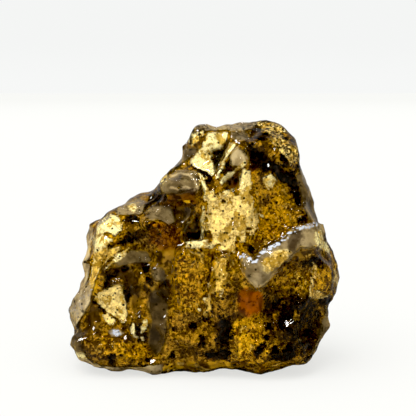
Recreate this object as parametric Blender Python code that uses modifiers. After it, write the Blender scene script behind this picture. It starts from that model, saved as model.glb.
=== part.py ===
"""A raw lump of copal: one piece of half-hardened tree resin, as dug up.

It is a single solid.  A slab of the front view's outline is planed off at its flat breaks, its ledges and
swellings are joined on, and shell-shaped hollows are scooped out of it, as resin chips when it is knocked.
Units are metres, +Z is up and the front faces -Y.  The origin is under the middle, on the resting surface.
"""

import math

import bmesh
import bpy
from mathutils import Matrix, Vector

MM = 0.001

# Driving dimensions of the whole lump.
WIDTH = 48.0 * MM
DEPTH = 29.0 * MM
HEIGHT = 43.0 * MM

# How finely the surface is made.
WELD = 0.01 * MM
GRAIN = 0.62 * MM
FACES = 8600
FOOT_WEAR = 0.9

RESIN_COLOUR = (0.62, 0.36, 0.05, 1.0)
RESIN_ROUGHNESS = 0.12
RESIN_IOR = 1.54

# The front view's outline in millimetres, (x, z), clockwise from the left of the summit.
OUTLINE = [
    (-4.1, 39.6), (-4.8, 42.3), (-1.4, 43.0), (1.6, 41.2), (4.5, 41.4), (9.3, 42.6), (12.2, 43.4), (14.4, 42.0),
    (15.9, 39.9), (17.7, 37.2), (17.8, 35.2), (19.5, 32.5), (20.4, 29.5), (21.3, 24.3), (23.4, 20.7),
    (24.9, 18.3), (25.4, 15.2), (25.2, 12.0), (23.0, 11.0), (22.7, 9.0), (21.2, 5.4), (19.6, 3.2),
    (17.4, 1.6), (12.6, 0.2), (9.2, 0.5), (7.0, 0.3), (4.9, 0.8), (-4.9, 0.6), (-11.2, 0.4), (-14.4, -0.3),
    (-18.0, 1.4), (-21.9, 3.2), (-23.8, 4.3), (-23.5, 5.8), (-23.4, 6.6), (-24.4, 8.4), (-23.6, 10.8),
    (-21.6, 13.2), (-20.9, 16.3), (-20.8, 22.0), (-20.7, 24.8), (-15.9, 26.8), (-13.0, 29.0), (-8.9, 30.0),
    (-6.8, 34.0), (-4.3, 36.4),
]

# Flat breaks: a point on each and the way it faces, in millimetres.  All that stands beyond it is gone.
BREAKS = [
    ((0, -14.0, 5), (-0.04, -1, 0.22)),
    ((0, -13.0, 3.2), (0, -0.75, -0.66)),
    ((-20, -8.5, 12), (-0.75, -0.62, 0.12)),
    ((-13, -7.5, 26), (-0.35, -0.66, 0.62)),
    ((19.5, -9.5, 14), (0.74, -0.66, 0.08)),
    ((18.4, -5.0, 33), (0.80, -0.50, 0.26)),
    ((6, -4.5, 40.6), (0.05, -0.55, 0.83)),
    ((-4.6, -5.5, 36.5), (-0.55, -0.60, 0.55)),
    ((2, 14.0, 7), (0.10, 1, 0.27)),
    ((0, 13.0, 3.5), (0.05, 0.72, -0.70)),
    ((-19, 8.5, 12), (-0.66, 0.74, 0.14)),
    ((19.5, 9.0, 14), (0.72, 0.66, 0.20)),
    ((-9, 6.5, 28), (-0.40, 0.66, 0.60)),
    ((9, 4.0, 40.6), (0.10, 0.60, 0.80)),
    ((10, 12.0, 18), (0.42, 1, 0.10)),
    ((-8, 12.0, 14), (-0.34, 1, 0.42)),
]

# Swellings and ledges: middle, half sizes, and turns about Y and Z in degrees, in millimetres.
SWELLINGS = {
    "right_ledge": ((12.6, -10.0, 20.4), (8.2, 3.6, 2.5), -27, 8),
    "ledge_tip": ((8.6, -12.0, 17.0), (2.6, 2.0, 3.2), 20, 0),
    "left_shoulder": ((-14.6, -4.2, 21.4), (5.8, 5.4, 4.6), 32, 0),
    "shoulder_wedge": ((-13.0, -7.8, 18.2), (5.0, 3.2, 2.2), -14, 12),
    "upper_left_block": ((-3.6, -6.8, 30.6), (4.0, 3.2, 3.0), 10, -14),
    "lower_left_block": ((-7.6, -7.8, 25.4), (3.6, 3.0, 2.6), -20, 10),
    "middle_panel": ((-1.8, -11.4, 14.6), (4.4, 2.6, 8.6), 2, 14),
    "middle_column": ((3.4, -11.8, 13.0), (2.4, 2.6, 9.0), 10, -10),
    "lower_left_lip": ((-16.6, -8.0, 5.0), (6.0, 4.2, 2.5), 12, 24),
    "left_rim": ((-19.2, -4.4, 11.0), (2.2, 4.6, 7.2), 2, 24),
    "right_bulge": ((19.8, -4.0, 15.4), (3.6, 5.8, 5.0), 0, 20),
    "summit_knob": ((11.6, -1.8, 37.8), (4.8, 4.8, 4.2), 20, 10),
    "summit_horn": ((0.6, -1.6, 38.2), (4.0, 3.8, 3.6), -20, 0),
    "lower_right_boss": ((14.0, -9.2, 8.2), (6.2, 4.8, 6.2), 8, -24),
    "back_hump": ((4.0, 8.6, 15.0), (10.5, 5.6, 11.0), 12, 0),
    "back_left_hump": ((-13.0, 6.4, 10.0), (8.0, 5.6, 7.2), -8, 12),
}

# Hollows: the point bitten into, the way it faces, its width and its depth, in millimetres.
HOLLOWS = [
    ((-15.4, -12.4, 11.6), (-0.10, -1, 0.20), 11.0, 3.4),
    ((-9.6, -11.0, 22.0), (-0.25, -1, 0.10), 7.5, 2.6),
    ((-8.0, -12.4, 13.6), (-0.30, -1, 0.00), 7.5, 2.6),
    ((-8.6, -12.6, 6.4), (-0.10, -1, 0.10), 6.5, 1.6),
    ((-8.4, -7.6, 31.6), (-0.70, -1, 0.40), 5.5, 1.4),
    ((-1.4, -10.6, 24.6), (0.10, -1, 0.00), 5.0, 1.6),
    ((1.0, -8.8, 36.4), (-0.35, -1, 0.25), 8.0, 1.5),
    ((5.4, -10.0, 31.8), (0.05, -1, 0.15), 6.5, 1.5),
    ((11.4, -9.4, 29.4), (0.20, -1, 0.15), 9.0, 1.9),
    ((9.6, -8.2, 37.6), (0.25, -1, 0.40), 6.4, 1.9),
    ((15.4, -7.4, 31.5), (0.45, -1, 0.20), 6.0, 1.6),
    ((12.4, -13.6, 15.0), (0.10, -1, -0.35), 9.6, 3.0),
    ((3.0, -13.8, 4.8), (0.00, -1, -0.20), 6.5, 2.0),
    ((-3.6, -13.4, 4.0), (0.00, -1, -0.25), 7.0, 1.6),
    ((20.2, -8.4, 10.0), (0.70, -1, 0.00), 7.0, 1.4),
    ((4.6, -3.2, 43.0), (0.00, -0.3, 1), 6.0, 1.0),
    ((-12.0, 12.2, 20.0), (-0.30, 1, 0.45), 13.0, 2.2),
    ((6.0, 11.5, 28.0), (0.05, 1, 0.35), 13.0, 2.0),
    ((-5.0, 13.6, 8.0), (-0.20, 1, 0.20), 9.0, 1.4),
    ((14.5, 12.5, 11.0), (0.45, 1, 0.15), 10.0, 1.8),
    ((14.5, 6.5, 34.0), (0.50, 1, 0.35), 8.0, 1.4),
    ((-21.5, 4.0, 18.0), (-1, 0.50, 0.15), 8.0, 1.3),
    ((22.5, 3.5, 12.0), (1, 0.45, -0.10), 8.0, 1.2),
    ((-2.0, 0.0, -0.5), (0, 0, -1), 15.0, 1.6),
]

# Shell-shaped chips all over the skin: how wide they are and how deep, in millimetres.
CHIPS = [("broad_chips", 7.5, 2.0), ("small_chips", 2.6, 0.7)]


def clear_scene():
    for thing in list(bpy.data.objects):
        bpy.data.objects.remove(thing)


def new_collection(name):
    collection = bpy.data.collections.new(name)
    bpy.context.scene.collection.children.link(collection)
    return collection


def mesh_object(name, bm, collection):
    mesh = bpy.data.meshes.new(name)
    bm.to_mesh(mesh)
    bm.free()
    thing = bpy.data.objects.new(name, mesh)
    collection.objects.link(thing)
    return thing


def apply_modifiers(thing):
    """Turns an object's modifiers into plain mesh."""
    graph = bpy.context.evaluated_depsgraph_get()
    thing.data = bpy.data.meshes.new_from_object(thing.evaluated_get(graph))
    thing.modifiers.clear()


def outline_slab(collection):
    """The slab that has the front view's outline and the full depth."""
    curve = bpy.data.curves.new("front_outline", "CURVE")
    curve.dimensions = "2D"
    curve.fill_mode = "BOTH"
    curve.extrude = DEPTH / 2
    spline = curve.splines.new("POLY")
    spline.points.add(len(OUTLINE) - 1)
    spline.use_cyclic_u = True
    for point, (x, z) in zip(spline.points, OUTLINE):
        point.co = (x * MM, z * MM, 0, 1)
    guide = bpy.data.objects.new("front_outline", curve)
    collection.objects.link(guide)
    guide.rotation_euler.x = math.radians(90)
    bpy.context.view_layer.update()
    graph = bpy.context.evaluated_depsgraph_get()
    bm = bmesh.new()
    bm.from_mesh(bpy.data.meshes.new_from_object(guide.evaluated_get(graph)))
    bm.transform(guide.matrix_world)
    bmesh.ops.remove_doubles(bm, verts=bm.verts, dist=WELD)
    bpy.data.objects.remove(guide)
    return bm


def plane_off(bm, at, facing):
    """Takes away all that stands beyond a flat break, and closes the cut."""
    everything = bm.verts[:] + bm.edges[:] + bm.faces[:]
    cut = bmesh.ops.bisect_plane(
        bm, geom=everything, plane_co=Vector(at) * MM, plane_no=Vector(facing).normalized(), clear_outer=True
    )
    rim = [piece for piece in cut["geom_cut"] if isinstance(piece, bmesh.types.BMEdge)]
    bmesh.ops.holes_fill(bm, edges=rim)
    bmesh.ops.triangulate(bm, faces=bm.faces)


def swelling(name, middle, half_sizes, turn_y, turn_z, collection):
    """A rounded lump that is joined on."""
    bm = bmesh.new()
    bmesh.ops.create_icosphere(bm, subdivisions=2, radius=MM)
    turn = Matrix.Rotation(math.radians(turn_z), 4, "Z") @ Matrix.Rotation(math.radians(turn_y), 4, "Y")
    place = Matrix.Translation(Vector(middle) * MM)
    bm.transform(place @ turn @ Matrix.Diagonal((*half_sizes, 1)))
    return mesh_object(name, bm, collection)


def hollow(number, at, facing, width, depth, collection):
    """A ball that bites a hollow of this width and depth where it meets the surface."""
    radius = (width * width / 4 + depth * depth) / (2 * depth)
    centre = Vector(at) + Vector(facing).normalized() * (radius - depth)
    bm = bmesh.new()
    bmesh.ops.create_icosphere(bm, subdivisions=4, radius=radius * MM)
    bm.transform(Matrix.Translation(centre * MM))
    return mesh_object(f"hollow_{number:02d}", bm, collection)


def add_boolean(thing, operation, collection):
    boolean = thing.modifiers.new(operation.lower(), "BOOLEAN")
    boolean.operation = operation
    boolean.solver = "EXACT"
    boolean.operand_type = "COLLECTION"
    boolean.collection = collection


def add_remesh(thing):
    remesh = thing.modifiers.new("even_mesh", "REMESH")
    remesh.mode = "VOXEL"
    remesh.voxel_size = GRAIN


def add_chips(thing, name, width, depth):
    """Scallops with sharp edges between them, the way resin breaks."""
    texture = bpy.data.textures.new(name, "VORONOI")
    texture.distance_metric = "DISTANCE_SQUARED"
    texture.noise_scale = width * MM
    chips = thing.modifiers.new(name, "DISPLACE")
    chips.texture = texture
    chips.texture_coords = "LOCAL"
    chips.strength = depth * MM
    chips.mid_level = 0.5


def flatten_feet(bm):
    """Wears the lowest points flat, which are what the lump rests on."""
    lowest = min(v.co.z for v in bm.verts)
    plane_off(bm, (0, 0, lowest / MM + FOOT_WEAR), (0, 0, -1))


def fit_to_size(bm):
    """Brings the lump to its driving dimensions, with its origin under its middle."""
    low = Vector(min(v.co[i] for v in bm.verts) for i in range(3))
    high = Vector(max(v.co[i] for v in bm.verts) for i in range(3))
    size = high - low
    middle = (low + high) / 2
    bm.transform(
        Matrix.Diagonal((WIDTH / size.x, DEPTH / size.y, HEIGHT / size.z, 1))
        @ Matrix.Translation((-middle.x, -middle.y, -low.z))
    )


def resin_material():
    material = bpy.data.materials.new("resin")
    material.use_nodes = True
    shader = material.node_tree.nodes["Principled BSDF"]
    shader.inputs["Base Color"].default_value = RESIN_COLOUR
    shader.inputs["Roughness"].default_value = RESIN_ROUGHNESS
    shader.inputs["Metallic"].default_value = 0.0
    shader.inputs["IOR"].default_value = RESIN_IOR
    shader.inputs["Transmission Weight"].default_value = 1.0
    return material


def build():
    clear_scene()
    parts = new_collection("raw_copal")
    joined = new_collection("joined_on")
    cutters = new_collection("scooped_out")

    bm = outline_slab(parts)
    for at, facing in BREAKS:
        plane_off(bm, at, facing)
    copal = mesh_object("copal", bm, parts)

    helpers = [swelling(name, *shape, joined) for name, shape in SWELLINGS.items()]
    helpers += [hollow(i, *shape, cutters) for i, shape in enumerate(HOLLOWS)]
    for helper in helpers:
        helper.hide_render = True
        helper.display_type = "WIRE"

    add_boolean(copal, "UNION", joined)
    add_boolean(copal, "DIFFERENCE", cutters)
    add_remesh(copal)
    for name, width, depth in CHIPS:
        add_chips(copal, name, width, depth)
    apply_modifiers(copal)

    thin = copal.modifiers.new("fewer_faces", "DECIMATE")
    thin.ratio = FACES / (2 * len(copal.data.polygons))
    apply_modifiers(copal)

    bm = bmesh.new()
    bm.from_mesh(copal.data)
    flatten_feet(bm)
    fit_to_size(bm)
    bm.to_mesh(copal.data)
    bm.free()
    copal.data.materials.clear()
    copal.data.materials.append(resin_material())
    copal.data.shade_flat()


build()
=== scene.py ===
"""A raw lump of copal, dressed: clear amber resin with cracks, bark, soil and gas caught in it.

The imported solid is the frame.  Every piece is made from it or set inside it, in metres, +Z up, front to -Y.
"""

import math
import random

import bpy
import numpy as np
from mathutils import Matrix, Vector, noise
from mathutils.bvhtree import BVHTree


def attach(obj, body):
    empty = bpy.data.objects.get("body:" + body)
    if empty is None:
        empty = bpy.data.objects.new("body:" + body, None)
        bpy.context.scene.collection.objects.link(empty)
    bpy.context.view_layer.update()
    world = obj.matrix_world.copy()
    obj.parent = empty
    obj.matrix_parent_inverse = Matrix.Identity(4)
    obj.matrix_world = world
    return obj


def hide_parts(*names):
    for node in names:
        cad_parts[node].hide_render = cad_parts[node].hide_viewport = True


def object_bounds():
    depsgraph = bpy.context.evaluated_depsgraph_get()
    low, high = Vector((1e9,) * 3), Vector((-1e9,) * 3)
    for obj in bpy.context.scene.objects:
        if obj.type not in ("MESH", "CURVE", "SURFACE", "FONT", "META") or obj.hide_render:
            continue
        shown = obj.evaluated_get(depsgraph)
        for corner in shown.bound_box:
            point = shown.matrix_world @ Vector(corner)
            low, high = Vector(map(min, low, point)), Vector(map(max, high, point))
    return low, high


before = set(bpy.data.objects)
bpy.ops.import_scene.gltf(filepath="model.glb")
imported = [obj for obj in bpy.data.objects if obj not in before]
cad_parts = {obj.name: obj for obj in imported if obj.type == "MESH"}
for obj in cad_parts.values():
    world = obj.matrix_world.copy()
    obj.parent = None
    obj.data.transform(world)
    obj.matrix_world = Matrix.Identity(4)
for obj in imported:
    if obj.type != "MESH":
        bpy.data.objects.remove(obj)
cad_low, cad_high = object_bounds()

# ---------------------------------------------------------------------------------------------------------
# The camera.  It stands a hand's breadth in front of the lump and looks down on it a little.

MM = 0.001
AIM = Vector((0.5, 0.0, 27.4)) * MM
FAR = 173.5 * MM
LOOK_DOWN = math.radians(7)
BLACK_LEVEL = (0.005, 0.0055, 0.0065)

lens = bpy.data.cameras.new("camera")
lens.lens = 85
lens.sensor_width = 36
lens.clip_start = 0.005
camera = bpy.data.objects.new("camera", lens)
bpy.context.scene.collection.objects.link(camera)
back = Vector((0, -math.cos(LOOK_DOWN), math.sin(LOOK_DOWN)))
camera.location = AIM + back * FAR
camera.rotation_euler = (-back).to_track_quat("-Z", "Y").to_euler()
bpy.context.scene.camera = camera
view = bpy.context.scene.view_settings
view.view_transform = "Standard"
view.use_curve_mapping = True
view.curve_mapping.black_level = BLACK_LEVEL
view.curve_mapping.update()

# ---------------------------------------------------------------------------------------------------------
# The resin lump.  Copal is tree resin that has hardened for some hundreds of years and is still a little
# soft.  The outside is chipped like glass, in shells with sharp rims, and worn smooth where it was rubbed.
# It is one piece with nothing joined to it.

FINE = 0.23 * MM
MOST_FACES = 196000
CHIP_WIDTH = 2.2 * MM
CHIP_DEPTH = 0.20 * MM
GRIT_WIDTH = 0.7 * MM
GRIT_DEPTH = 0.07 * MM
SHARP_RIM = math.radians(38)
RESIN_TINT = (1.0, 0.99, 0.95, 1.0)
RESIN_IOR = 1.54
RESIN_ABSORBS = (0.76, 0.62, 0.0, 1.0)
RESIN_DEPTH = 200.0
# The frost tint is a pale coat: frosted skin in some places and a painted highlight in others.
FROST_AND_HIGHLIGHT_TINT = (0.32, 0.33, 0.35, 1.0)

# The front's features are given by their outlines, x and z in millimetres, on an upright plane 9 mm in front
# of the lump's middle, as they are seen from the eye point.  GOLD is bright leaf, HONEY warm grainy resin,
# BLACK bark, SHADE painted shade over dim see-through parts, hollows and undersides, SMOKE milky or
# clear parts and RED red-brown stains.
EYE = AIM + back * FAR
PLANE = -9 * MM

GOLD = {
    "left_glow": [(-18.5, 20.7), (-17.0, 21.7), (-13.6, 22.1), (-15.0, 20.7), (-16.4, 19.5),
        (-17.7, 18.0), (-18.6, 15.9), (-19.1, 14.5), (-19.4, 16.3), (-19.1, 18.7)],
    "summit_leaf": [(-0.2, 39.7), (0.5, 41.0), (4.0, 41.2), (3.8, 40.2), (3.2, 39.2), (2.5, 38.4),
        (1.2, 38.1), (1.0, 36.9), (1.7, 34.9), (1.3, 33.7), (0.3, 34.5), (-0.8, 34.9), (-2.2, 35.6),
        (-2.3, 36.6), (-1.3, 37.7), (-0.7, 38.5)],
    "summit_specks": [(-2.7, 41.0), (-0.3, 41.4), (0.2, 40.7), (-1.0, 39.4), (-2.0, 38.9), (-2.8, 39.7)],
    "v_left_arm": [(4.2, 39.4), (5.2, 39.0), (4.0, 37.2), (3.0, 35.2), (2.3, 33.4), (1.7, 33.2),
        (2.3, 35.4), (3.0, 37.4)],
    "v_right_arm": [(2.3, 32.9), (3.7, 34.4), (5.2, 35.2), (6.7, 36.4), (6.8, 35.7), (5.3, 34.7),
        (4.0, 33.5), (2.8, 32.5)],
    "v_foot": [(-1.3, 34.5), (-0.2, 33.9), (0.3, 32.0), (1.2, 30.5), (2.8, 30.7), (3.5, 31.5),
        (3.7, 30.5), (2.5, 29.5), (1.2, 29.2), (0.2, 29.9), (-0.3, 31.5), (-0.8, 33.2)],
    "upward_arm": [(6.3, 35.2), (7.5, 34.9), (7.8, 32.9), (7.5, 31.0), (8.2, 29.2), (6.9, 28.8),
        (6.0, 30.2), (5.8, 32.2), (6.0, 34.0)],
    "centre_leaf": [(-0.3, 29.0), (0.2, 30.5), (1.5, 31.5), (3.5, 30.5), (5.2, 31.9), (6.8, 31.5),
        (7.9, 30.2), (8.9, 28.5), (9.2, 26.1), (8.6, 24.4), (6.9, 23.4), (5.9, 22.1), (4.5, 20.7),
        (2.9, 20.7), (1.5, 22.1), (0.2, 23.1), (0.5, 24.8), (-0.3, 26.8)],
    "centre_spur": [(3.7, 31.5), (4.5, 31.4), (5.3, 30.5), (4.5, 29.7), (3.7, 30.4)],
    "small_leaf": [(9.7, 33.5), (10.8, 34.2), (12.0, 33.2), (11.5, 32.4), (10.5, 31.5), (9.8, 32.5)],
    "upright_edge": [(-0.7, 28.8), (-0.0, 28.8), (-0.2, 23.1), (-0.7, 22.9)],
    "step_edge": [(-2.9, 22.9), (-0.7, 23.1), (0.5, 22.6), (1.5, 22.2), (1.3, 21.6), (-0.8, 21.7),
        (-3.2, 21.6)],
    "column": [(1.7, 19.8), (2.7, 20.9), (3.9, 21.0), (4.5, 19.7), (4.2, 17.6), (3.7, 15.6),
        (2.9, 14.4), (1.9, 13.2), (0.7, 13.2), (1.0, 15.9)],
    "column_foot": [(-0.2, 12.8), (1.0, 13.5), (1.5, 12.1), (1.2, 9.7), (-0.0, 9.0), (-0.9, 10.4)],
    "left_top_leaf": [(-18.0, 25.5), (-16.9, 26.5), (-15.6, 27.5), (-14.1, 26.6), (-13.9, 25.0),
        (-15.0, 23.8), (-16.3, 24.4), (-17.3, 24.1), (-18.1, 24.1)],
    "left_leaf": [(-18.5, 23.8), (-17.1, 23.9), (-15.5, 23.1), (-16.3, 22.1), (-17.5, 20.9),
        (-18.4, 20.9), (-18.7, 22.6)],
    "left_chip": [(-13.1, 28.8), (-11.9, 29.0), (-11.2, 28.3), (-12.1, 27.8), (-12.7, 28.3)],
    "left_facet": [(-7.0, 32.5), (-7.3, 33.2), (-6.3, 34.0), (-6.2, 33.4)],
    "fold_blade": [(-17.0, 18.1), (-15.7, 19.5), (-14.5, 20.7), (-13.0, 21.9), (-12.6, 21.6),
        (-14.2, 20.0), (-15.7, 18.8)],
    "bowl_leaf": [(-19.0, 12.8), (-17.8, 14.2), (-15.7, 15.2), (-14.4, 15.6), (-13.7, 14.5),
        (-13.4, 12.8), (-13.1, 10.7), (-13.1, 9.0), (-14.1, 8.8), (-15.1, 9.7), (-16.5, 10.7),
        (-17.8, 11.8)],
    "bowl_leaf_low": [(-17.5, 10.4), (-16.5, 10.4), (-15.1, 9.3), (-15.3, 8.3), (-16.5, 8.5),
        (-17.3, 9.5)],
    "small_hook": [(-12.8, 7.6), (-12.1, 9.0), (-11.7, 6.7), (-10.2, 6.6), (-10.1, 5.5), (-10.6, 5.5),
        (-10.9, 6.2), (-12.3, 6.2)],
    "small_bar": [(-10.2, 9.7), (-9.5, 9.2), (-10.2, 7.6), (-10.9, 6.9), (-11.1, 7.4)],
    "ledge_leaf": [(9.6, 19.3), (11.8, 21.0), (13.6, 21.4), (14.5, 21.0), (13.3, 19.5), (11.6, 18.1),
        (10.3, 17.6)],
    "right_leaf": [(18.5, 24.4), (19.3, 24.6), (19.7, 23.1), (20.5, 22.1), (21.0, 20.4), (20.4, 20.9),
        (19.0, 21.7), (18.3, 23.3)],
    "right_streak": [(18.2, 19.2), (18.7, 18.7), (18.2, 16.3), (18.1, 13.5), (17.6, 13.5), (17.7, 16.3)],
    "far_right_streak": [(21.6, 18.0), (22.1, 17.6), (22.1, 15.7), (21.6, 15.9)],
    "low_right_leaf": [(17.6, 14.5), (19.4, 14.5), (20.8, 13.5), (19.5, 13.0), (17.8, 13.2)],
    "top_right_leaf": [(8.5, 42.5), (10.4, 43.0), (12.3, 42.7), (13.1, 41.4), (12.3, 39.9),
        (10.8, 40.2), (9.5, 41.5)],
    "top_right_low": [(10.5, 39.9), (12.4, 40.7), (14.1, 39.5), (15.5, 38.2), (15.5, 36.6),
        (14.2, 35.6), (13.0, 36.9), (11.8, 38.5)],
    "left_lip": [(-22.8, 4.5), (-21.8, 3.9), (-20.3, 3.2), (-20.0, 2.7), (-21.3, 2.9), (-22.7, 3.6)],
}
HONEY = {
    "under_ledge_glow": [(10.3, 17.3), (13.7, 19.0), (15.7, 18.0), (16.1, 14.9), (13.7, 13.5),
        (10.6, 14.5)],
    "low_left_glow": [(-17.9, 6.6), (-16.5, 7.6), (-12.8, 5.5), (-9.4, 5.2), (-9.4, 3.1), (-14.5, 2.0),
        (-17.2, 3.4)],
    "foot_strip": [(-7.2, 2.0), (-4.3, 2.2), (4.6, 2.2), (4.9, 0.3), (11.1, -0.1), (4.9, -0.8),
        (-4.3, -0.8), (-7.7, -0.8)],
    "left_top": [(-19.0, 25.3), (-16.9, 26.6), (-13.9, 28.3), (-11.9, 29.2), (-9.9, 30.0),
        (-10.2, 28.7), (-12.6, 26.5), (-13.6, 24.4), (-15.6, 22.7), (-18.0, 21.0), (-19.4, 21.4)],
    "honey_panel": [(-4.2, 21.6), (-0.8, 21.7), (1.8, 21.6), (1.5, 20.0), (0.7, 17.1), (0.5, 14.5),
        (-0.5, 13.2), (-1.2, 10.7), (-4.9, 11.4), (-4.9, 13.3), (-5.2, 16.3), (-4.9, 19.3)],
    "granular": [(7.9, 28.8), (7.8, 33.5), (9.5, 31.5), (12.5, 32.5), (14.2, 30.2), (15.2, 27.5),
        (14.3, 24.4), (11.9, 23.1), (9.6, 22.1), (7.6, 23.1), (5.2, 22.1), (4.5, 23.1), (6.9, 25.0),
        (8.5, 26.5)],
    "under_centre": [(1.8, 22.1), (4.5, 22.1), (6.9, 22.4), (6.6, 20.7), (5.2, 19.3), (4.6, 15.9),
        (3.2, 14.2), (1.5, 13.5), (1.5, 20.0)],
    "left_yellow": [(-18.0, 21.0), (-16.3, 21.9), (-13.3, 22.1), (-15.7, 20.4), (-17.0, 18.7),
        (-18.1, 14.5), (-19.1, 13.5), (-19.4, 18.0), (-19.0, 20.0)],
    "right_bulge": [(16.0, 18.0), (22.4, 19.3), (22.8, 15.4), (21.5, 13.8), (16.1, 14.5)],
    "low_right_gold": [(4.4, 7.3), (5.9, 9.7), (8.0, 10.7), (9.7, 9.3), (9.7, 5.9), (10.7, 3.8),
        (9.7, 1.3), (7.0, 2.0), (4.4, 2.5)],
    "foot_orange": [(4.6, 3.1), (9.7, 2.4), (14.5, 2.0), (16.2, 1.3), (11.1, 0.3), (6.0, 1.0)],
}
BLACK = {
    "summit_pit": [(1.3, 38.1), (2.8, 38.4), (3.5, 39.4), (3.8, 40.0), (3.2, 37.4), (2.5, 36.1),
        (2.0, 33.9), (1.7, 35.2), (1.5, 36.6)],
    "v_slit": [(4.0, 37.4), (4.3, 36.9), (3.7, 35.4), (3.2, 35.1), (3.5, 36.6)],
    "black_band": [(7.0, 39.2), (8.8, 38.5), (10.5, 37.4), (11.8, 36.2), (13.3, 34.9), (15.2, 33.2),
        (15.9, 31.5), (16.4, 28.8), (15.4, 28.7), (14.5, 30.7), (13.9, 32.2), (12.2, 33.0),
        (11.5, 34.5), (9.5, 34.5), (7.5, 36.1), (7.0, 37.9)],
    "notch": [(-8.2, 31.0), (-6.9, 31.4), (-7.2, 29.9), (-9.2, 28.8), (-10.2, 27.8), (-9.7, 29.5)],
    "slit": [(-0.0, 25.6), (0.5, 26.3), (0.5, 25.0), (-0.0, 23.8)],
    "black_blob": [(1.5, 9.0), (2.9, 9.7), (4.1, 9.3), (4.7, 8.0), (4.2, 6.2), (4.2, 4.8), (2.5, 4.8),
        (2.0, 6.2), (2.2, 7.6), (1.3, 8.0)],
    "small_blob": [(-0.9, 6.9), (-0.2, 6.6), (-0.0, 4.8), (-0.9, 5.2)],
    "low_blob": [(2.0, 4.1), (4.2, 4.5), (4.1, 2.4), (-0.0, 2.4), (-0.2, 3.9)],
    "left_spot": [(-16.7, 2.4), (-15.9, 3.8), (-15.0, 3.4), (-15.7, 1.7), (-16.2, 1.5)],
    "crust": [(10.0, 14.2), (12.7, 14.9), (16.1, 14.2), (18.8, 12.8), (19.5, 10.7), (19.9, 7.6),
        (18.2, 4.1), (16.2, 3.1), (13.5, 2.4), (12.4, 5.2), (11.0, 7.6), (10.0, 10.7)],
    "crust_foot": [(9.0, 5.0), (10.4, 5.5), (10.0, 3.8), (8.7, 2.7), (8.3, 3.8)],
    "black_oval": [(19.0, 13.2), (20.8, 13.5), (21.5, 12.8), (20.5, 11.9), (19.1, 12.1)],
    "left_crack": [(-15.6, 22.6), (-14.0, 23.1), (-12.9, 24.1), (-12.3, 23.4), (-13.3, 22.4),
        (-15.0, 21.9), (-16.3, 21.6)],
    "left_top_crack": [(-13.6, 26.8), (-12.2, 27.3), (-10.9, 27.2), (-11.2, 26.5), (-12.6, 26.1)],
}
SHADE = {
    "red_pit": [(4.2, 34.7), (6.0, 35.1), (5.8, 33.5), (5.5, 31.9), (4.3, 31.4), (3.5, 32.5),
        (3.2, 33.2)],
    "under_block": [(-6.2, 31.2), (-1.3, 31.5), (-1.5, 29.9), (-4.9, 29.2), (-7.5, 28.8)],
    "cavity": [(-5.4, 28.8), (-2.5, 28.8), (-2.2, 27.2), (-3.5, 25.8), (-4.9, 26.1)],
    "hollow": [(-2.2, 26.8), (-0.7, 27.0), (-0.7, 23.1), (-2.9, 22.9), (-3.2, 24.4)],
    "left_column": [(-7.6, 23.1), (-4.9, 22.4), (-4.9, 19.3), (-5.6, 15.4), (-6.3, 12.8), (-8.0, 13.5),
        (-7.9, 19.3)],
    "arch": [(-17.4, 16.9), (-16.0, 18.5), (-14.0, 18.8), (-12.2, 18.0), (-11.2, 16.4), (-10.5, 14.5),
        (-11.0, 11.8), (-12.2, 10.0), (-12.7, 12.8), (-13.4, 15.6), (-14.4, 16.3), (-16.1, 16.1),
        (-17.3, 15.0)],
    "olive_patch": [(-9.3, 15.6), (-7.1, 15.2), (-6.3, 12.8), (-6.3, 7.6), (-6.7, 3.8), (-9.1, 3.1),
        (-9.7, 5.9), (-9.7, 11.1)],
    "bowl_shade": [(-19.2, 11.8), (-17.8, 11.4), (-17.2, 9.7), (-18.2, 7.6), (-19.9, 7.3), (-20.2, 9.7)],
    "left_foot": [(-22.6, 7.6), (-20.6, 8.3), (-20.6, 5.0), (-19.3, 3.2), (-21.7, 3.8), (-23.0, 5.2)],
    "block_gloom": [(-7.5, 31.0), (-1.2, 30.9), (-0.8, 28.8), (-2.8, 28.5), (-4.9, 26.1), (-6.2, 28.5),
        (-7.9, 28.8)],
    "low_red_gloom": [(-9.6, 25.5), (-6.5, 25.5), (-3.2, 24.4), (-2.9, 21.7), (-4.9, 19.3),
        (-7.6, 22.4), (-9.6, 23.8)],
    "foot_gloom": HONEY["foot_strip"],
    "under_ledge": [(11.3, 17.6), (13.7, 19.0), (15.3, 18.3), (15.7, 15.6), (13.7, 14.5), (11.0, 14.9),
        (10.0, 15.9)],
    "ledge_dark": [(13.8, 22.4), (14.3, 23.9), (15.3, 24.8), (16.3, 24.8), (16.5, 23.8), (15.8, 22.4),
        (15.1, 21.4), (14.0, 21.0)],
    "shelf_wedge": [(14.3, 20.0), (15.5, 21.4), (16.7, 21.7), (19.0, 21.7), (19.2, 21.4), (17.7, 20.7),
        (16.0, 19.8), (14.5, 19.3)],
    "right_shade": [(15.8, 19.5), (18.0, 20.0), (19.0, 20.7), (20.7, 19.3), (20.4, 18.0), (18.0, 18.3),
        (16.4, 18.0)],
}
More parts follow.
